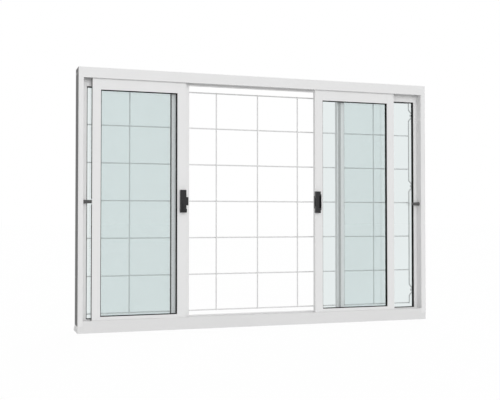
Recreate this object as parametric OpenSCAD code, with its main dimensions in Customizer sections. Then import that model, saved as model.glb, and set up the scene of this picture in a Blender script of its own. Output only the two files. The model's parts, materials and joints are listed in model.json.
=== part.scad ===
// Four-panel aluminium sliding window with a welded security grille behind the panes.
// Two outer panels are fixed, two inner panels slide on rollers and meet at a latch.
// X runs along the width from the window's centre line.
// Y runs from the room side (negative) to the grille side, from the middle of the frame's depth.
// Z runs up from the underside of the sill.

/* [Window frame] */
// Overall width
frame_w = 1500; // [1460:10:1600]
// Overall height
frame_h = 1020; // [900:10:1200]
// Depth of the head and the jambs
frame_d = 85; // [85:1:95]
// Thickness of each jamb
jamb_t = 20; // [16:1:24]
// Height of the head rail
head_t = 40; // [40:1:46]
// Height of the sill rail
sill_t = 47; // [47:1:49]
// Height of the sill below the jambs
sill_base_t = 27; // [25:1:29]
// Reach of the sill's sloping nose
nose_d = 35; // [20:1:50]
// Height of the nose's front edge
nose_t = 4; // [2:1:8]

/* [Sliding sashes] */
// Width of one sliding sash
sash_w = 371; // [366:1:374]
// Visible width of a sliding sash's outer stile
outer_stile_w = 33; // [31:1:37]
// Visible width of a sliding sash's closing stile
lock_stile_w = 35; // [32:1:38]
// Distance from the left sash's closing edge to the window's centre
left_open = 324.5; // [322:0.5:326]
// Distance from the right sash's closing edge to the window's centre
right_open = 232.5; // [100:0.5:300]
// Height of the glass opening's lower edge
sash_glass_z0 = 60; // [58:1:66]
// Drop from the frame's top to the glass opening's upper edge
sash_glass_drop = 83; // [80:1:90]

/* [Fixed panels] */
// Visible width of the stile at the jamb
fixed_jamb_stile_w = 16.5; // [16:0.5:24]
// Visible width of the stile at the meeting line
fixed_meeting_stile_w = 32.5; // [30:0.5:36]
// Distance from the frame's outer side to the meeting stile's inner edge
fixed_panel_w = 405; // [400:1:410]
// Height of the glass opening's lower edge
fixed_glass_z0 = 49.5; // [48.5:0.5:56]
// Drop from the frame's top to the glass opening's upper edge
fixed_glass_drop = 69; // [66:1:74]

/* [Grille] */
// Diameter of the grille's rods
rod_d = 5; // [4:0.5:5]
// Distance between upright rods
upright_pitch = 179.5; // [170:0.5:182]
// Distance between horizontal rods
cross_pitch = 149; // [120:1:155]
// Height of the middle horizontal rod
grille_mid_z = 509.5; // [440:0.5:600]
// Distance from the middle rod to the grille's top and bottom rods
grille_half_h = 444.5; // [370:0.5:450]
// Gap from the jamb to the centre of the grille's end rods
end_rod_gap = 16.6; // [12:0.1:22]

/* [Latch] */
// Width of the latch body
latch_w = 24; // [23:0.5:26]
// Height of the latch body and of the keeper
latch_h = 90; // [86:1:100]
// Height of the latch's middle
latch_z = 507; // [450:1:560]
// Width of the keeper on the right sash
keeper_w = 24; // [22:1:28]
// Reach of the bolt past the left sash's closing edge
bolt_reach = 8; // [5:0.5:8]

/* [Hidden] */

$fn = 48;

// Depths below are measured back from the frame's front plane.
wall = 2;
rail_wall = 3;
half_w = frame_w / 2;
jamb_in = half_w - jamb_t;
head_z = frame_h - head_t;

// Grooves that hold the panels, in the head and the sill
front_groove = [7.5, 32];
rear_groove = [33.5, 57];
front_groove_floor = 12;
rear_groove_floor = 31;
head_front_groove_top = head_z + 23;
head_rear_groove_top = head_z + 16;
track_z = 18.5;
track = [19, 21];
sill_foot_t = 5;
sill_skin = 3.5;

// Sliding sash
sash_d = [10, 30];
sash_z0 = 20;
sash_z1 = head_z + 20;
sash_glass_z1 = frame_h - sash_glass_drop;
groove_d = [14, 26];
groove_deep = 10;
glass_d = [18, 22];
glass_bite = 8;
gasket_lip = 2.8;
web = 4;
channel_top = sash_glass_z0 - groove_deep - web;
strip_d = [30.5, 32.5];
strip_reach = 18;
strip_root = 12;

// Screw ports in the panels' horizontal rails
rail_web = 1.6;
rail_port_r = 2.6;
rail_port_hole_r = 1.6;

// Fixed panel
fixed_d = [34, 56];
fixed_z1 = head_z + 15;
fixed_glass_z1 = frame_h - fixed_glass_drop;
fixed_groove_d = [38, 50];
fixed_groove_deep = 8;
fixed_glass_d = [42, 46];
fixed_glass_bite = 6;
pile_groove_w = 15.5;
pile_groove_edge = 1;
pile_groove_deep = 3;

// Rollers
roller_r = 10;
tread_r = 8;
roller_w = 5.6;
tread_w = 2.8;
axle_r = 2;
running_gap = 0.05;
roller_z = track_z + tread_r + running_gap;
roller_inset = 60;
sash_mid_d = (sash_d[0] + sash_d[1]) / 2;
carriage_len = 44;
carriage_gap = 0.4;
carriage_d = [12.2, 27.8];
carriage_z = [22, 44];

// Grille
rod_r = rod_d / 2;
upright_d = frame_d - 1.5 * rod_d;
cross_d = frame_d - rod_r;
end_x = jamb_in - end_rod_gap;
kink_x = jamb_in - rod_r;
kink_zs = [frame_h - 122, frame_h - 437, 122];
kink_flat = 18;
kink_ramp = 15;
clip_h = 10;
clip_d = [frame_d - 19, frame_d - 1];
clip_t = 2 * rod_r + 2.5;
clip_screw_head_t = 1.5;
clip_screw_d = frame_d - 15;

// Fixings
fixing_hole_r = 4;
fixing_hole_d = 64.5;
fixing_hole_gap = 600;
corner_screw_ds = [46, 71];
head_screw_z = head_z + 21;
port_r = 6;
screw_r = 2.5;
screw_head_r = 4.5;
screw_head_t = 2.5;
screw_len = 70;
cap_t = 1.5;

// Bumpers
bumper_base_r = 8;
bumper_tip_r = 6;
bumper_z = 503;
stop_gap = 0.1;

// Latch, from the sash's front face forwards
latch_x1 = sash_w - 1;
latch_x0 = latch_x1 - latch_w;
latch_mid_x = (latch_x0 + latch_x1) / 2;
latch_front_d = -2;
latch_wall = 1.5;
bolt_d = [2, 7];
bolt_slot_gap = 0.5;
bolt_h = 33;
bolt_travel = 8;
bolt_fork_h = 7;
bolt_fork_gap = 0.5;
pivot_x = latch_x0 + 10;
pivot_r = 3;
pivot_tail = 1;
hub_r = 8;
lever_t = 4;
lever_gap = 0.2;
lever_arm_w = 8;
pad_size = [16, 16];
pad_corner_r = 3;
pad_x = sash_w - 7.7;
pad_z = latch_z - 37;
grip_inset = 1.5;
grip_front_d = -9;
small_screw_r = 1.5;
small_screw_head_r = 3;
small_screw_head_t = 1.5;
latch_screw_bite = 3;
latch_screw_zs = [latch_z - latch_h / 2 + 7, latch_z + latch_h / 2 - 7];

// Keeper
keeper_front_d = -2;
keeper_block_h = 66;
keeper_end_inset = 3;
keeper_lip_t = 1;
keeper_lip_h = 52;
keeper_lip_d = 21;
keeper_end_lip_d = 15;
keeper_slot_h = bolt_h + 4;
keeper_slot_deep = 3;
pull_inset = 2.5;
pull_w = 8;
pull_h = 48;
pull_deep = 9;

// Helpers

// Moves a shape from depth coordinates into the part's own frame.
module framed() {
    translate([0, -frame_d / 2, 0]) children();
}

// A rectangle given by two opposite corners.
module rect(a, b) {
    translate(a) square(b - a);
}

// Extrudes a (depth, height) outline along X.
module along_x(x0, x1) {
    translate([x0, 0, 0]) rotate([90, 0, 90]) linear_extrude(x1 - x0) children();
}

// Extrudes an (x, depth) outline along Z.
module along_z(z0, z1) {
    translate([0, 0, z0]) linear_extrude(z1 - z0) children();
}

// A box given by two opposite corners.
module block(a, b) {
    translate(a) cube(b - a);
}

// A cylinder along Y from depth d0 to depth d1.
module pin_y(x, z, r, d0, d1) {
    translate([x, d0, z]) rotate([-90, 0, 0]) cylinder(h = d1 - d0, r = r);
}

// A cylinder along X.
module pin_x(d, z, r, x0, x1) {
    translate([x0, d, z]) rotate([0, 90, 0]) cylinder(h = x1 - x0, r = r);
}

// Side -1 is the left as drawn, and side 1 is its mirror image.
module on_side(side) {
    mirror([side > 0 ? 1 : 0, 0, 0]) children();
}

// Places a sliding sash, drawn from its outer edge at x = 0 to its closing edge.
module sash_place(side) {
    gap = side > 0 ? right_open : left_open;
    framed() on_side(side) translate([-gap - sash_w, 0, 0]) children();
}

// Places a fixed panel, drawn from the frame's outer side at x = 0.
module fixed_place(side) {
    framed() on_side(side) translate([-half_w, 0, 0]) children();
}

// Frame

module head_rail() {
    color("white") framed() difference() {
        along_x(-jamb_in, jamb_in) difference() {
            rect([0, head_z], [frame_d, frame_h]);
            rect([front_groove[0], head_z - 1], [front_groove[1], head_front_groove_top]);
            rect([rear_groove[0], head_z - 1], [rear_groove[1], head_rear_groove_top]);
            rect([rail_wall, head_front_groove_top + rail_wall],
                 [rear_groove[1], frame_h - rail_wall]);
            rect([rear_groove[1] + rail_wall, head_z + rail_wall],
                 [frame_d - rail_wall, head_screw_z - port_r]);
            rect([rear_groove[1] + rail_wall, head_screw_z + port_r],
                 [frame_d - rail_wall, frame_h - rail_wall]);
        }
        for (side = [-1, 1]) {
            on_side(side) head_screw_holes();
        }
    }
}

// Clearance for the screws that pass through a jamb into the head's end.
module head_screw_holes() {
    for (d = corner_screw_ds) {
        pin_x(d, head_screw_z, screw_r + running_gap, -half_w - 1, -half_w + screw_len + 1);
        pin_x(d, head_screw_z, screw_head_r + running_gap, -half_w - 1, -half_w + screw_head_t);
    }
}

// Clearance for the screws that pass up through the sill into a jamb.
module sill_screw_holes() {
    for (d = corner_screw_ds) {
        translate([-half_w + jamb_t / 2, d, -1]) {
            cylinder(h = screw_len + 2, r = screw_r + running_gap);
            cylinder(h = screw_head_t + 1, r = screw_head_r + running_gap);
        }
    }
}

module sill_outline() {
    polygon([
        [0, 0], [frame_d + nose_d, 0], [frame_d + nose_d, nose_t],
        [frame_d, sill_base_t], [frame_d, sill_t], [0, sill_t]]);
}

// The hollow under the rear groove, which runs on into the nose.
module sill_chamber() {
    slope = (sill_base_t - nose_t) / nose_d;
    tip_d = frame_d + nose_d - 2 * sill_skin;
    polygon([
        [rear_groove[0] + wall, sill_foot_t], [tip_d, sill_foot_t],
        [frame_d, sill_foot_t + slope * (tip_d - frame_d)],
        [frame_d - sill_skin, sill_base_t - sill_skin],
        [rear_groove[0] + wall, sill_base_t - sill_skin]]);
}

module sill_rail() {
    color("white") framed() difference() {
        along_x(-half_w + cap_t, half_w - cap_t) difference() {
            sill_outline();
            difference() {
                rect([front_groove[0], front_groove_floor], [front_groove[1], sill_t + 1]);
                rect([track[0], 0], [track[1], track_z]);
            }
            rect([rear_groove[0], rear_groove_floor], [rear_groove[1], sill_t + 1]);
            rect([rail_wall, sill_foot_t],
                 [front_groove[1] - rail_wall, front_groove_floor - rail_wall]);
            rect([rear_groove[1] + rail_wall, sill_base_t - sill_foot_t],
                 [frame_d - rail_wall, sill_t - rail_wall]);
            sill_chamber();
        }
        for (side = [-1, 1]) {
            on_side(side) {
                block([-half_w - 1, -1, sill_base_t], [-jamb_in, frame_d + 1, sill_t + 1]);
                sill_screw_holes();
            }
        }
    }
}

module sill_end_caps() {
    color("whitesmoke") framed() {
        for (side = [-1, 1]) {
            on_side(side) along_x(-half_w, -half_w + cap_t) intersection() {
                sill_outline();
                rect([0, 0], [frame_d + nose_d, sill_base_t]);
            }
        }
    }
}

module jamb(side) {
    color("white") framed() on_side(side) difference() {
        along_z(sill_base_t, frame_h) difference() {
            rect([-half_w, 0], [-jamb_in, frame_d]);
            rect([-half_w + wall, rail_wall], [-jamb_in - wall, corner_screw_ds[0] - port_r]);
            rect([-half_w + wall, corner_screw_ds[1] + port_r], [-jamb_in - wall, frame_d - wall]);
        }
        for (k = [-1, 1]) {
            z = frame_h / 2 + k * fixing_hole_gap / 2;
            pin_x(fixing_hole_d, z, fixing_hole_r, -half_w - 1, -jamb_in + 1);
        }
        head_screw_holes();
        sill_screw_holes();
    }
}

module corner_screw() {
    cylinder(h = screw_head_t, r = screw_head_r);
    cylinder(h = screw_len, r = screw_r);
}

module frame_screws() {
    color("silver") framed() {
        for (side = [-1, 1], d = corner_screw_ds) {
            on_side(side) {
                translate([-half_w + jamb_t / 2, d, 0]) corner_screw();
                translate([-half_w, d, head_screw_z]) rotate([0, 90, 0]) corner_screw();
            }
        }
    }
}

// A tapered rubber stop on the inner face of a jamb.
module bumper() {
    len = jamb_in - left_open - sash_w - stop_gap;
    translate([-jamb_in, sash_mid_d, bumper_z]) rotate([0, 90, 0])
        cylinder(h = len, r1 = bumper_base_r, r2 = bumper_tip_r);
}

module bumpers() {
    color("dimgray") framed() {
        for (side = [-1, 1]) {
            on_side(side) bumper();
        }
    }
}

// Grille

module grille_upright(i) {
    x = (i - 4) * upright_pitch;
    color("white") framed() translate([x, upright_d, grille_mid_z - grille_half_h - rod_r])
        cylinder(h = 2 * (grille_half_h + rod_r), r = rod_r);
}

module grille_rod_x(z) {
    color("white") framed() pin_x(cross_d, z, rod_r, -end_x - rod_r, end_x + rod_r);
}

module grille_cross(i) {
    grille_rod_x(grille_mid_z + (3 - i) * cross_pitch);
}

// A round rod between two points of the (x, z) plane, with ball ends that blend its bends.
module rod_xz(a, b) {
    run = b - a;
    translate([a[0], upright_d, a[1]]) {
        rotate([0, atan2(run[0], run[1]), 0]) cylinder(h = norm(run), r = rod_r);
        sphere(r = rod_r);
    }
}

// The end rod steps out to the jamb at each clip.
module grille_end(side) {
    z_low = grille_mid_z - grille_half_h - rod_r;
    z_high = grille_mid_z + grille_half_h + rod_r;
    flat = kink_flat / 2;
    ramp = flat + kink_ramp;
    bends = [for (z = [kink_zs[2], kink_zs[1], kink_zs[0]])
        each [[-end_x, z - ramp], [-kink_x, z - flat], [-kink_x, z + flat], [-end_x, z + ramp]]];
    color("white") framed() on_side(side) {
        translate([-end_x, upright_d, z_low]) cylinder(h = bends[0][1] - z_low, r = rod_r);
        for (i = [0 : len(bends) - 2]) {
            rod_xz(bends[i], bends[i + 1]);
        }
        rod_xz(bends[len(bends) - 1], [-end_x, z_high]);
    }
}

// A saddle block that holds the end rod against the jamb, with its screw.
module grille_clips() {
    color("white") framed() {
        for (side = [-1, 1], z = kink_zs) {
            on_side(side) {
                difference() {
                    block([-jamb_in, clip_d[0], z - clip_h / 2],
                          [-jamb_in + clip_t, clip_d[1], z + clip_h / 2]);
                    translate([-kink_x, upright_d, z - clip_h])
                        cylinder(h = 2 * clip_h, r = rod_r + running_gap);
                }
                translate([-jamb_in + clip_t, clip_screw_d, z]) rotate([0, 90, 0])
                    cylinder(h = clip_screw_head_t, r = small_screw_head_r);
            }
        }
    }
}

// Fixed panels

// The hollow of a panel's horizontal rail. Its middle web carries the screw port that the
// stiles are screwed to.
module rail_chamber(a, b) {
    mid = (a + b) / 2;
    difference() {
        rect(a, b);
        rect([mid[0] - rail_web / 2, a[1] - 1], [mid[0] + rail_web / 2, b[1] + 1]);
        translate(mid) circle(r = rail_port_r);
    }
    translate(mid) circle(r = rail_port_hole_r);
}

module fixed_top_rail(side) {
    color("white") fixed_place(side)
        along_x(jamb_t + fixed_jamb_stile_w, fixed_panel_w - fixed_meeting_stile_w) difference() {
            rect([fixed_d[0], fixed_glass_z1], [fixed_d[1], fixed_z1]);
            rect([fixed_groove_d[0], fixed_glass_z1 - 1],
                 [fixed_groove_d[1], fixed_glass_z1 + fixed_groove_deep]);
            rail_chamber([fixed_d[0] + wall, fixed_glass_z1 + fixed_groove_deep + wall],
                         [fixed_d[1] - wall, fixed_z1 - wall]);
        }
}

module fixed_bottom_rail(side) {
    color("white") fixed_place(side)
        along_x(jamb_t + fixed_jamb_stile_w, fixed_panel_w - fixed_meeting_stile_w) difference() {
            rect([fixed_d[0], rear_groove_floor], [fixed_d[1], fixed_glass_z0]);
            rect([fixed_groove_d[0], fixed_glass_z0 - fixed_groove_deep],
                 [fixed_groove_d[1], fixed_glass_z0 + 1]);
            rail_chamber([fixed_d[0] + wall, rear_groove_floor + wall],
                         [fixed_d[1] - wall, fixed_glass_z0 - fixed_groove_deep - wall]);
        }
}

module fixed_jamb_stile(side) {
    x1 = jamb_t + fixed_jamb_stile_w;
    color("white") fixed_place(side) along_z(rear_groove_floor, fixed_z1) difference() {
        rect([jamb_t, fixed_d[0]], [x1, fixed_d[1]]);
        rect([x1 - fixed_groove_deep, fixed_groove_d[0]], [x1 + 1, fixed_groove_d[1]]);
        rect([jamb_t + wall, fixed_d[0] + wall], [x1 - fixed_groove_deep - wall, fixed_d[1] - wall]);
    }
}

module fixed_meeting_stile(side) {
    x0 = fixed_panel_w - fixed_meeting_stile_w;
    x1 = fixed_panel_w;
    pile_x1 = x1 - pile_groove_edge;
    color("white") fixed_place(side) along_z(rear_groove_floor, fixed_z1) difference() {
        rect([x0, fixed_d[0]], [x1, fixed_d[1]]);
        rect([x0 - 1, fixed_groove_d[0]], [x0 + fixed_groove_deep, fixed_groove_d[1]]);
        rect([pile_x1 - pile_groove_w, fixed_d[0] - 1], [pile_x1, fixed_d[0] + pile_groove_deep]);
        rect([x0 + fixed_groove_deep + wall, fixed_d[0] + pile_groove_deep + wall],
             [x1 - wall, fixed_d[1] - wall]);
    }
}

module fixed_glass(side) {
    color([0.7, 0.85, 0.8, 0.4]) fixed_place(side)
        block([jamb_t + fixed_jamb_stile_w - fixed_glass_bite, fixed_glass_d[0],
               fixed_glass_z0 - fixed_glass_bite],
              [fixed_panel_w - fixed_meeting_stile_w + fixed_glass_bite, fixed_glass_d[1],
               fixed_glass_z1 + fixed_glass_bite]);
}

// A rubber ring that fills a glazing groove on both sides of the glass.
module gasket_ring(x0, x1, z0, z1, deep, bite, ring_d, pane_d) {
    difference() {
        block([x0 - deep, ring_d[0], z0 - deep], [x1 + deep, ring_d[1], z1 + deep]);
        block([x0 + gasket_lip, ring_d[0] - 1, z0 + gasket_lip],
              [x1 - gasket_lip, ring_d[1] + 1, z1 - gasket_lip]);
        block([x0 - bite, pane_d[0], z0 - bite], [x1 + bite, pane_d[1], z1 + bite]);
    }
}

module fixed_gasket(side) {
    color("black") fixed_place(side)
        gasket_ring(jamb_t + fixed_jamb_stile_w, fixed_panel_w - fixed_meeting_stile_w,
                    fixed_glass_z0, fixed_glass_z1, fixed_groove_deep, fixed_glass_bite,
                    fixed_groove_d, fixed_glass_d);
}

// Sliding sashes

module slide_top_rail(side) {
    color("white") sash_place(side)
        along_x(outer_stile_w, sash_w - lock_stile_w) difference() {
            rect([sash_d[0], sash_glass_z1], [sash_d[1], sash_z1]);
            rect([groove_d[0], sash_glass_z1 - 1], [groove_d[1], sash_glass_z1 + groove_deep]);
            rail_chamber([sash_d[0] + wall, sash_glass_z1 + groove_deep + web],
                         [sash_d[1] - wall, sash_z1 - wall]);
        }
}

module slide_bottom_rail(side) {
    color("white") sash_place(side)
        along_x(outer_stile_w, sash_w - lock_stile_w) difference() {
            rect([sash_d[0], sash_z0], [sash_d[1], sash_glass_z0]);
            rect([groove_d[0], sash_glass_z0 - groove_deep], [groove_d[1], sash_glass_z0 + 1]);
            rect([sash_d[0] + wall, sash_z0 - 1], [sash_d[1] - wall, channel_top]);
        }
}

// The outline of a stile whose outer edge is at x = 0 and whose glass is towards +x.
module slide_stile_outline(w) {
    difference() {
        rect([0, sash_d[0]], [w, sash_d[1]]);
        rect([w - groove_deep, groove_d[0]], [w + 1, groove_d[1]]);
        rect([wall, sash_d[0] + wall], [w - groove_deep - wall, sash_d[1] - wall]);
    }
}

module slide_outer_stile(side) {
    color("white") sash_place(side) along_z(sash_z0, sash_z1)
        slide_stile_outline(outer_stile_w);
}

// Only the left sash's closing stile is drilled, for the latch.
module slide_lock_stile(side) {
    color("white") sash_place(side) difference() {
        along_z(sash_z0, sash_z1)
            translate([sash_w, 0]) mirror([1, 0]) slide_stile_outline(lock_stile_w);
        if (side < 0) {
            latch_screw_holes(sash_d[0] - 1, sash_d[0] + latch_screw_bite + 1);
            pin_y(pivot_x, latch_z, pivot_r + 1, sash_d[0] - 1, sash_d[0] + pivot_tail + 0.5);
        }
    }
}

// Clearance for the latch's two screws.
module latch_screw_holes(d0, d1) {
    for (z = latch_screw_zs) {
        pin_y(latch_mid_x, z, small_screw_r + running_gap, d0, d1);
    }
}

// The flat strip on the left sash's back that covers the closing line.
module slide_meeting_strip() {
    color("white") sash_place(-1) along_z(sill_t + 1, head_z - 1) {
        rect([sash_w - strip_root, sash_d[1]], [sash_w, strip_d[1]]);
        rect([sash_w - strip_root, strip_d[0]], [sash_w + strip_reach, strip_d[1]]);
    }
}

module slide_glass(side) {
    color([0.7, 0.85, 0.8, 0.4]) sash_place(side)
        block([outer_stile_w - glass_bite, glass_d[0], sash_glass_z0 - glass_bite],
              [sash_w - lock_stile_w + glass_bite, glass_d[1], sash_glass_z1 + glass_bite]);
}

module slide_gasket(side) {
    color("black") sash_place(side)
        gasket_ring(outer_stile_w, sash_w - lock_stile_w, sash_glass_z0, sash_glass_z1,
                    groove_deep, glass_bite, groove_d, glass_d);
}

// The two roller housings of one sash, each with its fixed axle.
module slide_carriages(side) {
    slot_half_d = roller_w / 2 + carriage_gap;
    slot_half_x = roller_r + 1;
    color("lightgray") sash_place(side) {
        for (x = [roller_inset, sash_w - roller_inset]) {
            difference() {
                block([x - carriage_len / 2, carriage_d[0], carriage_z[0]],
                      [x + carriage_len / 2, carriage_d[1], carriage_z[1]]);
                block([x - slot_half_x, sash_mid_d - slot_half_d, carriage_z[0] - 1],
                      [x + slot_half_x, sash_mid_d + slot_half_d, carriage_z[1] + 1]);
            }
            pin_y(x, roller_z, axle_r, carriage_d[0], carriage_d[1]);
        }
    }
}

// A flanged roller whose tread straddles the track.
module slide_roller(side, x) {
    color("ivory") sash_place(side) translate([x, sash_mid_d, roller_z]) rotate([90, 0, 0])
        rotate_extrude() polygon([
            [axle_r + running_gap, -roller_w / 2], [roller_r, -roller_w / 2],
            [roller_r, -tread_w / 2], [tread_r, -tread_w / 2],
            [tread_r, tread_w / 2], [roller_r, tread_w / 2],
            [roller_r, roller_w / 2], [axle_r + running_gap, roller_w / 2]]);
}

// Latch

module latch_body() {
    slot_h = bolt_h + 2 * bolt_slot_gap;
    color([0.12, 0.12, 0.12]) sash_place(-1) difference() {
        block([latch_x0, latch_front_d, latch_z - latch_h / 2],
              [latch_x1, sash_d[0], latch_z + latch_h / 2]);
        block([latch_x0 + latch_wall, bolt_d[0] - bolt_slot_gap, latch_z - slot_h / 2],
              [sash_w, bolt_d[1] + bolt_slot_gap, latch_z + slot_h / 2]);
        pin_y(pivot_x, latch_z, pivot_r + running_gap, latch_front_d - 1, sash_d[0] + 1);
        latch_screw_holes(latch_front_d, sash_d[0] + 1);
        for (z = latch_screw_zs) {
            pin_y(latch_mid_x, z, small_screw_head_r + running_gap,
                  latch_front_d - 1, latch_front_d + small_screw_head_t);
        }
    }
}

module latch_lever() {
    lever_back_d = latch_front_d - lever_gap;
    color([0.16, 0.16, 0.16]) sash_place(-1) {
        pin_y(pivot_x, latch_z, pivot_r, lever_back_d - 1, sash_d[0] + pivot_tail);
        translate([0, lever_back_d, 0]) rotate([90, 0, 0]) linear_extrude(lever_t)
            lever_outline();
        translate([0, lever_back_d - lever_t, 0]) rotate([90, 0, 0])
            linear_extrude(lever_back_d - lever_t - grip_front_d) translate([pad_x, pad_z])
                rounded_rect(pad_size - 2 * [grip_inset, grip_inset], pad_corner_r - grip_inset);
    }
}

// A centred rectangle with round corners.
module rounded_rect(size, r) {
    square([size[0], size[1] - 2 * r], center = true);
    square([size[0] - 2 * r, size[1]], center = true);
    for (i = [-1, 1], k = [-1, 1]) {
        translate([i * (size[0] / 2 - r), k * (size[1] / 2 - r)]) circle(r = r);
    }
}

// The lever's flat outline: a round hub, a straight arm and a thumb pad.
module lever_outline() {
    run = [pad_x - pivot_x, pad_z - latch_z];
    translate([pivot_x, latch_z]) {
        circle(r = hub_r);
        rotate([0, 0, -atan2(run[0], run[1])]) translate([-lever_arm_w / 2, 0])
            square([lever_arm_w, norm(run)]);
    }
    translate([pad_x, pad_z]) rounded_rect(pad_size, pad_corner_r);
}

// The sliding tongue, forked round the lever's shaft.
module latch_bolt() {
    fork_x0 = latch_x0 + latch_wall + bolt_travel + bolt_fork_gap;
    fork_x1 = pivot_x + pivot_r + bolt_travel + bolt_fork_gap;
    color([0.1, 0.1, 0.1]) sash_place(-1) difference() {
        block([fork_x0, bolt_d[0], latch_z - bolt_h / 2],
              [sash_w + bolt_reach, bolt_d[1], latch_z + bolt_h / 2]);
        block([fork_x0 - 1, bolt_d[0] - 1, latch_z - bolt_fork_h / 2],
              [fork_x1, bolt_d[1] + 1, latch_z + bolt_fork_h / 2]);
    }
}

// Countersunk flush with the front of the latch body.
module latch_screws() {
    color("dimgray") sash_place(-1) {
        for (z = latch_screw_zs) {
            pin_y(latch_mid_x, z, small_screw_r, latch_front_d, sash_d[0] + latch_screw_bite);
            pin_y(latch_mid_x, z, small_screw_head_r,
                  latch_front_d, latch_front_d + small_screw_head_t);
        }
    }
}

// The strike on the right sash, with the slot that the bolt enters and a finger pull.
// Its lip wraps round the sash's closing edge.
module keeper() {
    x1 = sash_w;
    x0 = sash_w - keeper_w;
    lip_x = sash_w + keeper_lip_t;
    color([0.12, 0.12, 0.12]) sash_place(1) difference() {
        union() {
            block([x0 + keeper_end_inset, keeper_front_d, latch_z - latch_h / 2],
                  [lip_x, sash_d[0], latch_z + latch_h / 2]);
            block([x0, keeper_front_d, latch_z - keeper_block_h / 2],
                  [lip_x, sash_d[0], latch_z + keeper_block_h / 2]);
            block([x1, keeper_front_d, latch_z - latch_h / 2],
                  [lip_x, keeper_end_lip_d, latch_z + latch_h / 2]);
            block([x1, keeper_front_d, latch_z - keeper_lip_h / 2],
                  [lip_x, keeper_lip_d, latch_z + keeper_lip_h / 2]);
        }
        block([x1 - bolt_reach - keeper_slot_deep, bolt_d[0] - 1, latch_z - keeper_slot_h / 2],
              [lip_x + 1, bolt_d[1] + 1, latch_z + keeper_slot_h / 2]);
        block([x0 + pull_inset, keeper_front_d - 1, latch_z - pull_h / 2],
              [x0 + pull_inset + pull_w, keeper_front_d + pull_deep, latch_z + pull_h / 2]);
    }
}

head_rail();
sill_rail();
sill_end_caps();
jamb(-1);  // jamb_left
jamb(1);  // jamb_right
frame_screws();
bumpers();
grille_upright(1);  // grille_upright_1
grille_upright(2);  // grille_upright_2
grille_upright(3);  // grille_upright_3
grille_upright(4);  // grille_upright_4
grille_upright(5);  // grille_upright_5
grille_upright(6);  // grille_upright_6
grille_upright(7);  // grille_upright_7
grille_cross(1);  // grille_cross_1
grille_cross(2);  // grille_cross_2
grille_cross(3);  // grille_cross_3
grille_cross(4);  // grille_cross_4
grille_cross(5);  // grille_cross_5
grille_rod_x(grille_mid_z + grille_half_h);  // grille_top_bar
grille_rod_x(grille_mid_z - grille_half_h);  // grille_bottom_bar
grille_end(-1);  // grille_end_left
grille_end(1);  // grille_end_right
grille_clips();
fixed_top_rail(-1);  // fixed_left_top_rail
fixed_bottom_rail(-1);  // fixed_left_bottom_rail
fixed_jamb_stile(-1);  // fixed_left_jamb_stile
fixed_meeting_stile(-1);  // fixed_left_meeting_stile
fixed_glass(-1);  // fixed_left_glass
fixed_gasket(-1);  // fixed_left_gasket
fixed_top_rail(1);  // fixed_right_top_rail
fixed_bottom_rail(1);  // fixed_right_bottom_rail
fixed_jamb_stile(1);  // fixed_right_jamb_stile
fixed_meeting_stile(1);  // fixed_right_meeting_stile
fixed_glass(1);  // fixed_right_glass
fixed_gasket(1);  // fixed_right_gasket
slide_top_rail(-1);  // slide_left_top_rail
slide_bottom_rail(-1);  // slide_left_bottom_rail
slide_outer_stile(-1);  // slide_left_outer_stile
slide_lock_stile(-1);  // slide_left_lock_stile
slide_meeting_strip();  // slide_left_meeting_strip
slide_glass(-1);  // slide_left_glass
slide_gasket(-1);  // slide_left_gasket
slide_carriages(-1);  // slide_left_carriages
slide_roller(-1, roller_inset);  // slide_left_roller_a
slide_roller(-1, sash_w - roller_inset);  // slide_left_roller_b
slide_top_rail(1);  // slide_right_top_rail
slide_bottom_rail(1);  // slide_right_bottom_rail
slide_outer_stile(1);  // slide_right_outer_stile
slide_lock_stile(1);  // slide_right_lock_stile
slide_glass(1);  // slide_right_glass
slide_gasket(1);  // slide_right_gasket
slide_carriages(1);  // slide_right_carriages
slide_roller(1, roller_inset);  // slide_right_roller_a
slide_roller(1, sash_w - roller_inset);  // slide_right_roller_b
latch_body();
latch_lever();
latch_bolt();
latch_screws();
keeper();
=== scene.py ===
"""A four-panel sliding window with its welded security grille, dressed for rendering."""

import json
import math
import random

import bmesh
import bpy
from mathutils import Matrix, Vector


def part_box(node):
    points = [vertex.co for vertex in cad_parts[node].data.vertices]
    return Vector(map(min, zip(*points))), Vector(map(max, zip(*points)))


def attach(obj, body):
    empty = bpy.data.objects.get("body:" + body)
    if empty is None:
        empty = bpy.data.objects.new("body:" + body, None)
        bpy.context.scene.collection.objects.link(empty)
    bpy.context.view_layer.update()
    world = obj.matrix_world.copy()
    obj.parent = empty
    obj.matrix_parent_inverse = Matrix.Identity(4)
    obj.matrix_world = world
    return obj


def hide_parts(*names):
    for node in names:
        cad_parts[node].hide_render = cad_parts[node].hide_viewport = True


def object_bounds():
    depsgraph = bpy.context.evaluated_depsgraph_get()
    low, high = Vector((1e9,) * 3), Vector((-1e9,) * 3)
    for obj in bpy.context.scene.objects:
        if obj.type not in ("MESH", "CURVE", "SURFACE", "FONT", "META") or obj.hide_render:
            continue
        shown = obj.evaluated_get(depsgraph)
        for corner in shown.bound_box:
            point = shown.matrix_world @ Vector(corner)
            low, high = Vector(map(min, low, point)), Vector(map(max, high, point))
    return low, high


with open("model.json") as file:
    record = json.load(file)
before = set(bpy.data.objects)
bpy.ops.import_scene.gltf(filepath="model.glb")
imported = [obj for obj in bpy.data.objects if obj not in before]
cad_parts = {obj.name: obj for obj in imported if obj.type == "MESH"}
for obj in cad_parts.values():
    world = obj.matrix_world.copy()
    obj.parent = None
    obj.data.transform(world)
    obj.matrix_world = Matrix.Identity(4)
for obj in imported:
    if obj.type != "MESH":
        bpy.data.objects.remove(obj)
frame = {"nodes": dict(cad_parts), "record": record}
cad_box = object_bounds()
nodes = frame["nodes"]

MM = 0.001
FRONT_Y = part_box("jamb_left")[0].y
SIDE_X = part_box("jamb_right")[1].x

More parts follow.
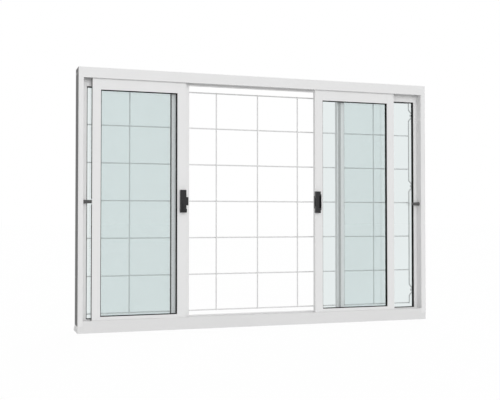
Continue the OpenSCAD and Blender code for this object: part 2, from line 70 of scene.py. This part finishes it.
# Places that no node's box gives, from the part's own drawing
JAMB_T = 20 * MM
CORNER_SCREW_YS = (FRONT_Y + 46 * MM, FRONT_Y + 71 * MM)
CLIP_ZS = (0.122, 1.020 - 0.437, 1.020 - 0.122)
CLIP_T = 7.5 * MM
CLIP_SCREW_Y = FRONT_Y + 70 * MM
BUMPER_LENGTH = 34.4 * MM
PILE_FAR = 16.3 * MM
PILE_WIDTH = 9.5 * MM
PILE_SEAT = 3 * MM
PILE_HEIGHT = 2.8 * MM

# Light: the surround looks white, and is dimmer as a light on the frame, more so overhead.
AMBIENT = 0.84
OVERHEAD = 0.55
FLOOR_LIGHT = 0.45
FLOOR_GLOW = 0.95
FLOOR_TONE = 0.06
FRONT_STRENGTH = 1.02
REAR_STRENGTH = 1.1

GLASS_TINT = (0.895, 0.925, 0.925)
GLASS_MIRROR = 0.065


# ---------------------------------------------------------------- camera

CAMERA_X = -1.1308
CAMERA_SETBACK = 3.2037
CAMERA_Z = 0.4353
CAMERA_YAW = 0.32284
CAMERA_PITCH = 0.02321
LENS_MM = 59.73


def make_camera():
    camera = bpy.data.cameras.new("camera")
    camera.lens = LENS_MM
    camera.sensor_width = 36.0
    camera.clip_end = 100.0
    obj = bpy.data.objects.new("camera", camera)
    obj.location = (CAMERA_X, FRONT_Y - CAMERA_SETBACK, CAMERA_Z)
    obj.rotation_euler = (math.pi / 2 + CAMERA_PITCH, 0.0, -CAMERA_YAW)
    bpy.context.scene.collection.objects.link(obj)
    bpy.context.scene.camera = obj


# ---------------------------------------------------------------- materials

class Nodes:
    """A short hand for building a material's node tree."""

    def __init__(self, name):
        self.material = bpy.data.materials.new(name)
        self.material.use_nodes = True
        self.tree = self.material.node_tree
        self.tree.nodes.clear()

    def add(self, kind, **settings):
        node = self.tree.nodes.new(kind)
        for key, value in settings.items():
            if key in node.inputs:
                node.inputs[key].default_value = value
            else:
                setattr(node, key, value)
        return node

    def link(self, source, output, target, socket):
        self.tree.links.new(source.outputs[output], target.inputs[socket])

    def coordinates(self):
        return self.add("ShaderNodeTexCoord")

    def noise(self, scale, detail=3.0, stretch=None):
        """A noise texture over object coordinates, in waves per metre."""
        coords = self.coordinates()
        noise = self.add("ShaderNodeTexNoise", Scale=scale, Detail=detail)
        if stretch:
            mapping = self.add("ShaderNodeMapping")
            mapping.inputs["Scale"].default_value = stretch
            self.link(coords, "Object", mapping, "Vector")
            self.link(mapping, "Vector", noise, "Vector")
        else:
            self.link(coords, "Object", noise, "Vector")
        return noise

    def ramp(self, source, output, low, high, low_at=0.3, high_at=0.7):
        ramp = self.add("ShaderNodeValToRGB")
        ramp.color_ramp.elements[0].position = low_at
        ramp.color_ramp.elements[1].position = high_at
        ramp.color_ramp.elements[0].color = low
        ramp.color_ramp.elements[1].color = high
        self.link(source, output, ramp, "Fac")
        return ramp

    def bump(self, source, output, distance, strength=1.0):
        bump = self.add("ShaderNodeBump", Strength=strength, Distance=distance)
        self.link(source, output, bump, "Height")
        return bump

    def finish(self, shader, output="BSDF"):
        out = self.add("ShaderNodeOutputMaterial")
        self.link(shader, output, out, "Surface")
        return self.material


def grey(value):
    return (value, value, value, 1)


def shade(colour, factor=1.0):
    """A colour made lighter or darker, with full alpha."""
    return tuple(c * factor for c in colour) + (1,)


def powder_coat(name, tone, roughness=0.36, outer_shade_tone=None):
    """White powder coat: a fine orange peel, and a faint unevenness in tone and gloss.
    The outer tone is a dark grey painted on the side that goes against the wall, as painted shade,
    and that side's reflection is turned off."""
    n = Nodes(name)
    tint = n.noise(9.0, 4.0)
    colour = n.ramp(tint, "Fac", shade(tone, 0.985), shade(tone))
    if outer_shade_tone:
        # Painted shade: beyond the outer face's plane the white gives way to a streaked dark grey
        # that stands in for the shade on that side.
        split = n.add("ShaderNodeSeparateXYZ")
        n.link(n.coordinates(), "Object", split, "Vector")
        away = n.add("ShaderNodeMath", operation="ABSOLUTE")
        n.link(split, "X", away, 0)
        beyond = n.add("ShaderNodeMath", operation="GREATER_THAN")
        n.link(away, "Value", beyond, 0)
        beyond.inputs[1].default_value = SIDE_X - 0.4 * MM
        streak = n.noise(30.0, 4.0, (1.0, 12.0, 0.2))
        outer_side_shade = n.ramp(streak, "Fac", shade(outer_shade_tone, 0.95), shade(outer_shade_tone, 1.05))
        pick = n.add("ShaderNodeMix", data_type="RGBA")
        n.link(beyond, "Value", pick, 0)
        n.link(colour, "Color", pick, 6)
        n.link(outer_side_shade, "Color", pick, 7)
        colour = pick
    gloss = n.noise(60.0, 3.0)
    rough = n.ramp(gloss, "Fac", grey(roughness - 0.04), grey(roughness + 0.05))
    peel = n.noise(1400.0, 2.0)
    bump = n.bump(peel, "Fac", 0.00002)
    shader = n.add("ShaderNodeBsdfPrincipled")
    # The outer side loses its reflection, which deepens the painted shade.
    if outer_shade_tone:
        sheen = n.add("ShaderNodeMapRange")
        sheen.inputs["To Min"].default_value = 0.5
        sheen.inputs["To Max"].default_value = 0.0
        n.link(beyond, "Value", sheen, "Value")
        n.link(sheen, "Result", shader, "Specular IOR Level")
    n.link(colour, 2 if outer_shade_tone else "Color", shader, "Base Color")
    n.link(rough, "Color", shader, "Roughness")
    n.link(bump, "Normal", shader, "Normal")
    return n.finish(shader)


def window_glass():
    """Clear float glass with a faint green tint: each face passes light and mirrors a little."""
    n = Nodes("window_glass")
    haze = n.noise(3.0, 2.0)
    tint = n.ramp(haze, "Fac", shade(GLASS_TINT), shade(GLASS_TINT, 1.008))
    path = n.add("ShaderNodeLightPath")
    soft = n.add("ShaderNodeMath", operation="MAXIMUM")
    n.link(path, "Is Shadow Ray", soft, 0)
    n.link(path, "Is Diffuse Ray", soft, 1)
    light = n.add("ShaderNodeMix", data_type="RGBA")
    n.link(soft, "Value", light, 0)
    n.link(tint, "Color", light, 6)
    light.inputs[7].default_value = (0.99, 0.99, 0.99, 1)
    clear = n.add("ShaderNodeBsdfTransparent")
    n.link(light, 2, clear, "Color")
    gloss = n.add("ShaderNodeBsdfGlossy", Roughness=0.02)
    # Schlick's rule, which is the same for a face seen from within the pane
    facing = n.add("ShaderNodeLayerWeight", Blend=0.5)
    grazing = n.add("ShaderNodeMath", operation="POWER")
    n.link(facing, "Facing", grazing, 0)
    grazing.inputs[1].default_value = 5.0
    mirror = n.add("ShaderNodeMapRange")
    mirror.inputs["To Min"].default_value = GLASS_MIRROR
    n.link(grazing, "Value", mirror, "Value")
    seen = n.add("ShaderNodeMath", operation="SUBTRACT")
    seen.inputs[0].default_value = 1.0
    n.link(soft, "Value", seen, 1)
    share = n.add("ShaderNodeMath", operation="MULTIPLY")
    n.link(mirror, "Result", share, 0)
    n.link(seen, "Value", share, 1)
    mix = n.add("ShaderNodeMixShader")
    n.link(share, "Value", mix, "Fac")
    n.link(clear, "BSDF", mix, 1)
    n.link(gloss, "BSDF", mix, 2)
    return n.finish(mix, "Shader")


def rubber(name, value, roughness=0.7, sheen=0.5):
    n = Nodes(name)
    grain = n.noise(700.0, 4.0)
    colour = n.ramp(grain, "Fac", grey(value * 0.75), grey(value * 1.25))
    bump = n.bump(grain, "Fac", 0.00004)
    shader = n.add("ShaderNodeBsdfPrincipled", Roughness=roughness)
    shader.inputs["Specular IOR Level"].default_value = sheen
    n.link(colour, "Color", shader, "Base Color")
    n.link(bump, "Normal", shader, "Normal")
    return n.finish(shader)


def textured_plastic(name, colour, roughness):
    """Moulded nylon with a fine spark-eroded grain."""
    n = Nodes(name)
    grain = n.add("ShaderNodeTexVoronoi", Scale=2600.0)
    n.link(n.coordinates(), "Object", grain, "Vector")
    cloud = n.noise(80.0, 4.0)
    tone = n.ramp(cloud, "Fac", shade(colour, 0.94), shade(colour, 1.06))
    bump = n.bump(grain, "Distance", 0.00006)
    shader = n.add("ShaderNodeBsdfPrincipled", Roughness=roughness)
    n.link(tone, "Color", shader, "Base Color")
    n.link(bump, "Normal", shader, "Normal")
    return n.finish(shader)


def zinc(name, low, high):
    n = Nodes(name)
    spangle = n.add("ShaderNodeTexVoronoi", Scale=900.0)
    n.link(n.coordinates(), "Object", spangle, "Vector")
    tone = n.ramp(spangle, "Distance", shade(low), shade(high), 0.0, 0.8)
    scratch = n.noise(500.0, 3.0, (1.0, 1.0, 0.1))
    rough = n.ramp(scratch, "Fac", grey(0.28), grey(0.45))
    shader = n.add("ShaderNodeBsdfPrincipled", Metallic=1.0)
    n.link(tone, "Color", shader, "Base Color")
    n.link(rough, "Color", shader, "Roughness")
    return n.finish(shader)


PAINT = powder_coat("white_powder_coat", (0.90, 0.90, 0.90))
# The sill's white is a little darker: painted shade for the dimmer light on the sill's face.
SILL_PAINT_SHADED = powder_coat("sill_coat_painted_shade", (0.84, 0.84, 0.84))
# The jambs' outer sides are painted dark grey as painted shade.
JAMB_PAINT = powder_coat("jamb_powder_coat", (0.90, 0.90, 0.90), outer_shade_tone=(0.29, 0.29, 0.29))
ROD_PAINT = powder_coat("rod_powder_coat", (0.80, 0.80, 0.80), 0.42)
GLASS = window_glass()
GASKET = rubber("glazing_rubber", 0.008, 0.8, 0.15)
BUMPER = rubber("bumper_rubber", 0.09, 0.32)
# Grey pile: partly a real seal, partly painted shade in the meeting stiles' grooves.
GREY_PILE_AND_SHADE = rubber("grey_pile_and_shade", 0.50, 0.9, 0.1)
# Black pile: partly a real seal, partly painted shade on the sashes' shaded outer sides.
BLACK_PILE_AND_SHADE = rubber("black_pile_and_shade", 0.03, 0.9, 0.1)
BLACK = textured_plastic("black_nylon", (0.010, 0.010, 0.011), 0.45)
CAP = textured_plastic("white_plastic", (0.80, 0.80, 0.80), 0.5)
NYLON = textured_plastic("roller_nylon", (0.72, 0.70, 0.64), 0.45)
ZINC = zinc("zinc_plate", (0.50, 0.50, 0.52), (0.68, 0.68, 0.70))
BLACK_ZINC = zinc("black_zinc_plate", (0.03, 0.03, 0.03), (0.06, 0.06, 0.06))

SLOT_MATERIALS = {
    "white_paint": PAINT, "grille_paint": ROD_PAINT, "tinted_glass": GLASS,
    "black_rubber": GASKET, "grey_rubber": BUMPER, "black_plastic": BLACK,
    "end_cap_plastic": CAP, "nylon": NYLON, "zinc_steel": ZINC,
    "black_steel": BLACK_ZINC}


# These nodes differ from their slot's usual material, as painted shade: the sill is a darker
# white, and the jambs' outer sides are dark grey.
NODE_MATERIALS = {
    "sill_rail": SILL_PAINT_SHADED, "jamb_left": JAMB_PAINT, "jamb_right": JAMB_PAINT}


# ---------------------------------------------------------------- CAD nodes

PLAIN_SLOTS = ("tinted_glass", "grille_paint")


def soften_edges(obj, width):
    """Closes the mesh's seams, makes each flat side one face, then rounds the sharp edges."""
    weld = obj.modifiers.new("close_seams", "WELD")
    weld.merge_threshold = 0.01 * MM
    flats = obj.modifiers.new("whole_flats", "DECIMATE")
    flats.decimate_type = "DISSOLVE"
    flats.angle_limit = math.radians(0.5)
    bevel = obj.modifiers.new("soft_edges", "BEVEL")
    bevel.width = width
    bevel.segments = 2
    bevel.limit_method = "ANGLE"
    bevel.angle_limit = math.radians(40)
    bevel.use_clamp_overlap = True
    normals = obj.modifiers.new("even_normals", "WEIGHTED_NORMAL")
    normals.keep_sharp = True


def dress_cad_nodes():
    for part in frame["record"]["subparts"]:
        name, slot = part["node"], part["material_slot"]
        obj = nodes[name]
        obj.data.materials.clear()
        obj.data.materials.append(NODE_MATERIALS.get(name, SLOT_MATERIALS[slot]))
        if slot not in PLAIN_SLOTS:
            soften_edges(obj, 0.8 * MM if "gasket" in name else 0.5 * MM)


# ---------------------------------------------------------------- detail pieces

def add_piece(name, bm, body, material, smooth_deg=40.0):
    """A finished mesh that rides on a body and takes the given material."""
    bmesh.ops.recalc_face_normals(bm, faces=bm.faces)
    mesh = bpy.data.meshes.new(name)
    bm.to_mesh(mesh)
    bm.free()
    mesh.materials.append(material)
    mesh.shade_smooth()
    mesh.set_sharp_from_angle(angle=math.radians(smooth_deg))
    obj = bpy.data.objects.new(name, mesh)
    bpy.context.scene.collection.objects.link(obj)
    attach(obj, body)
    return obj


def lathe(bm, profile, origin, axis, sides=40, reshape=None):
    """A closed turned shape. profile lists (distance along the axis, radius), from end to end.
    reshape(along, radius, angle) may return a changed (along, radius) for each point."""
    turn = Vector(axis).to_track_quat("Z", "Y").to_matrix()
    rings = []
    for along, radius in profile:
        ring = []
        for k in range(sides):
            angle = 2 * math.pi * k / sides
            z, r = reshape(along, radius, angle) if reshape else (along, radius)
            local = Vector((r * math.cos(angle), r * math.sin(angle), z))
            ring.append(bm.verts.new(Vector(origin) + turn @ local))
        rings.append(ring)
    for a, b in zip(rings, rings[1:]):
        for k in range(sides):
            j = (k + 1) % sides
            bm.faces.new((a[k], a[j], b[j], b[k]))
    for ring, along in ((rings[0], profile[0][0]), (rings[-1], profile[-1][0])):
        z = reshape(along, 0.0, 0.0)[0] if reshape else along
        centre = bm.verts.new(Vector(origin) + turn @ Vector((0, 0, z)))
        for k in range(sides):
            bm.faces.new((ring[k], ring[(k + 1) % sides], centre))


def cross_recess(head_r, depth):
    """Sinks a cross into the face of a screw's head, at along = 0."""
    arm, half = 0.62 * head_r, 0.17 * head_r

    def reshape(along, radius, angle):
        if along > 0.15 * MM:
            return along, radius
        x, y = abs(radius * math.cos(angle)), abs(radius * math.sin(angle))
        inside = min(x, y) <= half and max(x, y) <= arm
        return (along + depth if inside else along), radius
    return reshape


def screw(bm, head_at, axis, head_r, head_t, shank_r, length):
    """A countersunk screw with a cross recess and a cut thread. axis points into the hole."""
    face = [(0.0, head_r * k / 12) for k in range(1, 12)]
    rim = [(0.12 * MM, head_r * 0.985), (0.35 * MM, head_r), (0.45 * head_t, head_r * 0.97),
           (head_t, shank_r)]
    lathe(bm, face + rim, head_at, axis, 48, cross_recess(head_r, 0.55 * head_t))
    pitch = shank_r * 0.8
    steps = max(12, int((length - head_t) / (pitch / 4)))
    thread = [(head_t - 0.01 * MM + (length - head_t) * k / steps, shank_r)
              for k in range(steps + 1)]

    def helix(along, radius, angle):
        turn = (along / pitch - angle / (2 * math.pi)) % 1.0
        point = min(1.0, (length - along) / (2.5 * shank_r) + 0.25)
        return along, radius * point * (0.80 + 0.20 * (1 - abs(2 * turn - 1)))
    lathe(bm, thread, head_at, axis, 16, helix)


def pile_strip(bm, start, along, across, out, width, height, draw):
    """A strip of woven pile: a closed pad whose outer face is a field of uneven tufts."""
    start, along = Vector(start), Vector(along)
    across, out = Vector(across), Vector(out)
    rows = max(2, int(along.length / (2.5 * MM)))
    columns = max(3, int(width / (1.2 * MM)))
    base, top = [], []
    for i in range(rows + 1):
        low, high = [], []
        for k in range(columns + 1):
            at = start + along * (i / rows) + across * (width * k / columns)
            edge = k in (0, columns) or i in (0, rows)
            tuft = height * (0.45 if edge else draw.uniform(0.55, 1.0))
            low.append(bm.verts.new(at))
            high.append(bm.verts.new(at + out * tuft))
        base.append(low)
        top.append(high)
    for i in range(rows):
        for k in range(columns):
            bm.faces.new((top[i][k], top[i + 1][k], top[i + 1][k + 1], top[i][k + 1]))
            bm.faces.new((base[i][k], base[i][k + 1], base[i + 1][k + 1], base[i + 1][k]))
    for i in range(rows):
        for k in (0, columns):
            bm.faces.new((base[i][k], base[i + 1][k], top[i + 1][k], top[i][k]))
    for k in range(columns):
        for i in (0, rows):
            bm.faces.new((base[i][k], base[i][k + 1], top[i][k + 1], top[i][k]))


def meeting_pile_and_shade():
    """The grey pile in the groove of each fixed meeting stile: partly a real pile seal, and partly
    painted shade, its grey standing in for the shade in the groove.
    """
    for name, side in (("fixed_left", 1), ("fixed_right", -1)):
        lo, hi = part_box(name + "_meeting_stile")
        edge = hi.x if side > 0 else lo.x
        bm = bmesh.new()
        start = (edge - side * PILE_FAR, lo.y + PILE_SEAT, lo.z + 8 * MM)
        pile_strip(bm, start, (0, 0, hi.z - lo.z - 16 * MM), (side, 0, 0), (0, -1, 0),
                   PILE_WIDTH, PILE_HEIGHT, random.Random(5))
        add_piece(name + "_pile", bm, "root", GREY_PILE_AND_SHADE)


def edge_pile_and_shade():
    """The black pile on each sliding sash's outer edge, parted where the bumper meets it: partly a
    real pile seal, and partly painted shade for the shaded side of the stile.
    """
    low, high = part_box("bumpers")
    for name, side in (("left", -1), ("right", 1)):
        lo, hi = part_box(f"slide_{name}_outer_stile")
        edge = lo.x if side < 0 else hi.x
        bm = bmesh.new()
        for z0, z1 in ((lo.z + 4 * MM, low.z - 3 * MM), (high.z + 3 * MM, hi.z - 4 * MM)):
            pile_strip(bm, (edge, lo.y + 2 * MM, z0), (0, 0, z1 - z0), (0, 1, 0),
                       (side, 0, 0), hi.y - lo.y - 4 * MM, 1.4 * MM, random.Random(9))
        add_piece(f"slide_{name}_edge_pile_and_shade", bm, f"{name}_sash", BLACK_PILE_AND_SHADE)


def weld_beads():
    """A small uneven bead of weld at each crossing of the grille's rods."""
    draw = random.Random(3)
    uprights = [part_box(f"grille_upright_{k}") for k in range(1, 8)]
    crossbars = [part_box(f"grille_cross_{k}") for k in range(1, 6)]
    crossbars += [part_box("grille_top_bar"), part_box("grille_bottom_bar")]
    bm = bmesh.new()
    for lo_u, hi_u in uprights:
        for lo_c, hi_c in crossbars:
            centre = Vector(((lo_u.x + hi_u.x) / 2, hi_u.y, (lo_c.z + hi_c.z) / 2))
            made = bmesh.ops.create_icosphere(bm, subdivisions=2, radius=1.0)
            for v in made["verts"]:
                size = Vector((3.1, 1.5, 3.1)) * MM * draw.uniform(0.9, 1.05)
                v.co = centre + Vector((v.co.x * size.x, v.co.y * size.y, v.co.z * size.z))
    add_piece("weld_beads", bm, "root", ROD_PAINT)


def rubber_bumpers():
    """The bumpers with their flange, draft and rounded tip."""
    lo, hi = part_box("bumpers")
    y, z, r = (lo.y + hi.y) / 2, (lo.z + hi.z) / 2, (hi.z - lo.z) / 2
    bm = bmesh.new()
    for x, way in ((lo.x, 1), (hi.x, -1)):
        lathe(bm, [(0.0, 0.97 * r), (0.4 * MM, r), (2.2 * MM, r), (2.8 * MM, 0.955 * r),
                   (3.4 * MM, 0.90 * r), (BUMPER_LENGTH - 1.6 * MM, 0.76 * r),
                   (BUMPER_LENGTH - 0.5 * MM, 0.70 * r), (BUMPER_LENGTH, 0.60 * r)],
              (x, y, z), (way, 0, 0))
    obj = add_piece("bumper_pair", bm, "root", BUMPER, 60.0)
    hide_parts("bumpers")


def cut_screws():
    """The frame's and the latch's screws with recessed heads and cut threads."""
    lo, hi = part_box("frame_screws")
    bm = bmesh.new()
    for side in (-1, 1):
        for y in CORNER_SCREW_YS:
            screw(bm, (side * (SIDE_X - JAMB_T / 2), y, lo.z), (0, 0, 1),
                  4.5 * MM, 2.5 * MM, 2.5 * MM, 70 * MM)
            screw(bm, (hi.x if side > 0 else lo.x, y, hi.z - 4.5 * MM), (-side, 0, 0),
                  4.5 * MM, 2.5 * MM, 2.5 * MM, 70 * MM)
    obj = add_piece("frame_screw_set", bm, "root", ZINC)
    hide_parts("frame_screws")
    lo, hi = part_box("latch_screws")
    bm = bmesh.new()
    for z in (lo.z + 3 * MM, hi.z - 3 * MM):
        screw(bm, ((lo.x + hi.x) / 2, lo.y, z), (0, 1, 0), 3 * MM, 1.5 * MM, 1.5 * MM, hi.y - lo.y)
    obj = add_piece("latch_screw_set", bm, "left_sash", BLACK_ZINC)
    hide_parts("latch_screws")


def clip_heads():
    """A domed head with a cross recess over each grille clip's screw."""
    face = [(0.35 * MM * (k / 12) ** 2, 2.9 * MM * k / 12) for k in range(1, 13)]
    rim = [(0.7 * MM, 3.05 * MM), (1.2 * MM, 3.1 * MM), (2.05 * MM, 3.1 * MM)]
    arm, half = 1.8 * MM, 0.5 * MM

    def dome(along, radius, angle):
        x, y = abs(radius * math.cos(angle)), abs(radius * math.sin(angle))
        inside = along < 0.3 * MM and min(x, y) <= half and max(x, y) <= arm
        return (along + 0.5 * MM if inside else along), radius

    bm = bmesh.new()
    face_x = SIDE_X - JAMB_T - CLIP_T - 2.1 * MM
    for side in (-1, 1):
        for z in CLIP_ZS:
            lathe(bm, face + rim, (side * face_x, CLIP_SCREW_Y, z), (side, 0, 0), 48, dome)
    add_piece("clip_screw_heads", bm, "root", ROD_PAINT)


def grip_ridges():
    """Four rounded ridges across the thumb pad's raised grip."""
    lo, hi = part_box("latch_lever")
    centre_x, base_z = hi.x - 8 * MM, lo.z + 8 * MM
    bm = bmesh.new()
    for k in range(4):
        z = base_z + (k - 1.5) * 2.6 * MM
        lathe(bm, [(0.0, 0.35 * MM), (0.3 * MM, 0.65 * MM), (0.8 * MM, 0.75 * MM),
                   (9.2 * MM, 0.75 * MM), (9.7 * MM, 0.65 * MM), (10.0 * MM, 0.35 * MM)],
              (centre_x - 5 * MM, lo.y, z), (1, 0, 0), 16)
    add_piece("latch_grip_ridges", bm, "latch_lever", BLACK)


# ---------------------------------------------------------------- stage and light

def make_stage():
    size = 60.0
    mesh = bpy.data.meshes.new("floor")
    mesh.from_pydata([(-size, -size, 0), (size, -size, 0), (size, size, 0), (-size, size, 0)],
                     [], [(0, 1, 2, 3)])
    floor = bpy.data.objects.new("floor", mesh)
    floor.location = (0, 0, cad_box[0].z - 0.0005)
    bpy.context.scene.collection.objects.link(floor)
    n = Nodes("pale_floor")
    cloud = n.noise(1.5, 2.0)
    tone = n.ramp(cloud, "Fac", grey(FLOOR_TONE), grey(FLOOR_TONE * 1.05))
    diffuse = n.add("ShaderNodeBsdfDiffuse")
    n.link(tone, "Color", diffuse, "Color")
    path = n.add("ShaderNodeLightPath")
    seen = n.add("ShaderNodeMath", operation="MAXIMUM")
    n.link(path, "Is Camera Ray", seen, 0)
    n.link(path, "Is Glossy Ray", seen, 1)
    strength = n.add("ShaderNodeMix", data_type="FLOAT")
    n.link(seen, "Value", strength, 0)
    strength.inputs[2].default_value = FLOOR_LIGHT
    strength.inputs[3].default_value = FLOOR_GLOW
    glow = n.add("ShaderNodeEmission")
    n.link(strength, 0, glow, "Strength")
    both = n.add("ShaderNodeAddShader")
    n.link(diffuse, "BSDF", both, 0)
    n.link(glow, "Emission", both, 1)
    floor.data.materials.append(n.finish(both, "Shader"))


def sun(name, direction, strength, spread_deg):
    """A soft, distant light that shines along direction."""
    light = bpy.data.lights.new(name, "SUN")
    light.energy = strength
    light.angle = math.radians(spread_deg)
    obj = bpy.data.objects.new(name, light)
    obj.visible_glossy = False
    obj.rotation_euler = Vector(direction).to_track_quat("-Z", "Y").to_euler()
    bpy.context.scene.collection.objects.link(obj)


def make_light():
    """A white surround, dimmer as a light than it looks, with soft front and rear lights."""
    world = bpy.data.worlds.new("studio")
    world.use_nodes = True
    tree = world.node_tree
    background = tree.nodes["Background"]
    background.inputs["Color"].default_value = (1, 1, 1, 1)
    sky = tree.nodes.new("ShaderNodeTexCoord")
    split = tree.nodes.new("ShaderNodeSeparateXYZ")
    tree.links.new(sky.outputs["Generated"], split.inputs[0])
    dim = tree.nodes.new("ShaderNodeMapRange")
    dim.inputs["To Min"].default_value = AMBIENT
    dim.inputs["To Max"].default_value = AMBIENT * OVERHEAD
    tree.links.new(split.outputs["Z"], dim.inputs["Value"])
    path = tree.nodes.new("ShaderNodeLightPath")
    seen = tree.nodes.new("ShaderNodeMath")
    seen.operation = "MAXIMUM"
    tree.links.new(path.outputs["Is Camera Ray"], seen.inputs[0])
    tree.links.new(path.outputs["Is Glossy Ray"], seen.inputs[1])
    strength = tree.nodes.new("ShaderNodeMix")
    strength.data_type = "FLOAT"
    strength.inputs[3].default_value = 1.0
    tree.links.new(seen.outputs[0], strength.inputs[0])
    tree.links.new(dim.outputs["Result"], strength.inputs[2])
    tree.links.new(strength.outputs[0], background.inputs["Strength"])
    bpy.context.scene.world = world
    bpy.context.scene.view_settings.view_transform = "Standard"
    sun("front_light", (-0.08, 1.0, -0.18), FRONT_STRENGTH, 42.0)
    sun("rear_light", (-0.5, -1.0, -0.35), REAR_STRENGTH, 35.0)


make_camera()
dress_cad_nodes()
meeting_pile_and_shade()
edge_pile_and_shade()
weld_beads()
rubber_bumpers()
cut_screws()
clip_heads()
grip_ridges()
make_stage()
make_light()
